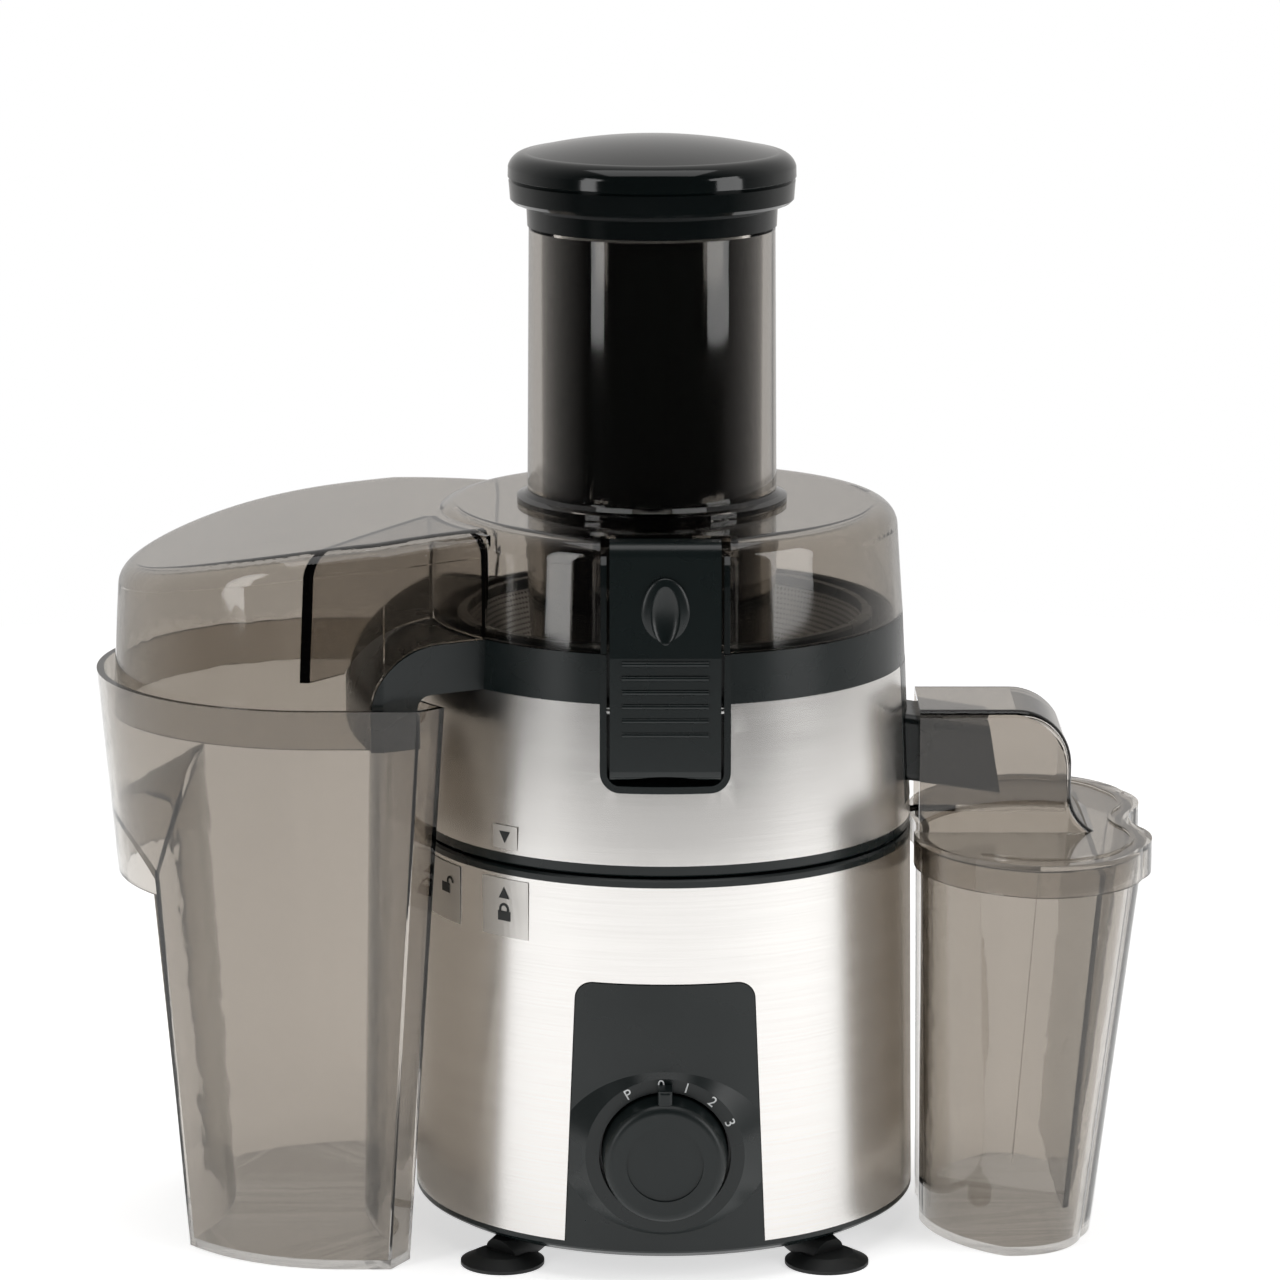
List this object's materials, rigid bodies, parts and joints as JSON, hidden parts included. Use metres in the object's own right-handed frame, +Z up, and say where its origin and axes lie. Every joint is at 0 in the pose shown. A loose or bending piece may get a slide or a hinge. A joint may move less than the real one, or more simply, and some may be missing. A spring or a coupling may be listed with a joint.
{
  "type": "centrifugal juicer",
  "caption": "Countertop centrifugal juicer: motor base with speed dial, latched bowl with wide feed tube and pusher, pulp container and juice jug with spout hood.",
  "frame": {"origin": "on the surface the appliance stands on, under the middle of its whole width and depth", "axes": "+Z up, -Y towards the front with the dial, +X towards the juice jug; the drive axis stands at X = +13.75 mm, Y = 0"},
  "size_m": [0.3806, 0.208, 0.3965],
  "materials": {
    "brushed_steel": "circumferentially brushed",
    "black_plastic": "satin moulded, slightly green black",
    "pusher_plastic": "polished",
    "knob_plastic": "fine matt",
    "smoky_plastic": "clear smoke tint, polished",
    "inner_plastic": "moulded",
    "hub_plastic": "glass-filled moulded",
    "rubber": "matt",
    "sieve_steel": "etched stainless",
    "turned_steel": "turned",
    "lamination": "varnished sheet stack",
    "copper": "enamelled wire",
    "zinc": "cast",
    "carbon": "pressed carbon"
  },
  "bodies": {
    "base": {"base_sleeve": "brushed_steel", "base_frame": "inner_plastic", "base_collar": "black_plastic", "bottom_cover": "black_plastic", "suction_feet": "rubber", "bottom_screws": "turned_steel", "control_panel": "black_plastic", "speed_switch": "inner_plastic", "interlock_switch": "inner_plastic", "cord_gland": "black_plastic", "motor_stator": "lamination", "stator_coils": "copper", "upper_bracket": "zinc", "lower_bracket": "zinc", "motor_bearings": "turned_steel", "motor_dampers": "rubber", "motor_screws": "turned_steel", "brush_holders": "inner_plastic", "carbon_brushes": "carbon", "shaft_seal": "rubber"},
    "rotor": {"motor_shaft": "turned_steel", "armature_core": "lamination", "armature_windings": "copper", "commutator": "copper", "cooling_fan": "hub_plastic", "drive_coupling": "hub_plastic", "basket_hub": "hub_plastic", "grater_disc": "sieve_steel", "basket_mesh": "sieve_steel", "basket_rim": "black_plastic"},
    "dial": {"dial_knob": "knob_plastic", "dial_spindle": "turned_steel"},
    "bowl": {"bowl_housing": "black_plastic", "bowl_sleeve": "brushed_steel", "bowl_seal": "rubber", "latch_pins": "turned_steel", "lid_cover": "smoky_plastic", "feed_tube": "smoky_plastic"},
    "latch_a": {"latch_front": "black_plastic"},
    "latch_b": {"latch_rear": "black_plastic"},
    "pusher": {"pusher_body": "pusher_plastic", "pusher_collar": "pusher_plastic", "pusher_cap": "pusher_plastic"},
    "pulp_bin": {"pulp_container": "smoky_plastic"},
    "jug": {"juice_jug": "smoky_plastic", "froth_separator": "smoky_plastic"},
    "jug_top": {"jug_lid": "smoky_plastic"}
  },
  "joints": [
    {"name": "rotor_spin", "type": "hinge", "parent": "base", "child": "rotor", "pos_m": [0.01375, 0, 0.1], "axis": [0, 0, 1], "continuous": true},
    {"name": "dial_turn", "type": "hinge", "parent": "base", "child": "dial", "pos_m": [0.01375, -0.095, 0.048], "axis": [0, 1, 0], "range_deg": [-28, 62]},
    {"name": "bowl_turn", "type": "hinge", "parent": "base", "child": "bowl", "pos_m": [0.01375, 0, 0.15], "axis": [0, 0, 1], "range_deg": [-22, 0]},
    {"name": "latch_front_swing", "type": "hinge", "parent": "bowl", "child": "latch_a", "pos_m": [0.01375, -0.083, 0.206], "axis": [1, 0, 0], "range_deg": [0, 13], "stiffness_Nm_per_rad": 0.3},
    {"name": "latch_rear_swing", "type": "hinge", "parent": "bowl", "child": "latch_b", "pos_m": [0.01375, 0.083, 0.206], "axis": [-1, 0, 0], "range_deg": [0, 13], "stiffness_Nm_per_rad": 0.3},
    {"name": "pusher_slide", "type": "slide", "parent": "bowl", "child": "pusher", "axis": [0, 0, 1], "range_m": [0, 0.15]},
    {"name": "pulp_bin_tilt", "type": "hinge", "parent": "bowl", "child": "pulp_bin", "pos_m": [-0.09025, 0, 0.2055], "axis": [0, 1, 0], "range_deg": [0, 10]},
    {"name": "jug_slide", "type": "slide", "parent": "bowl", "child": "jug", "axis": [1, 0, 0], "range_m": [0, 0.12]},
    {"name": "jug_lid_lift", "type": "slide", "parent": "jug", "child": "jug_top", "axis": [0, 0, 1], "range_m": [0, 0.012]}
  ]
}
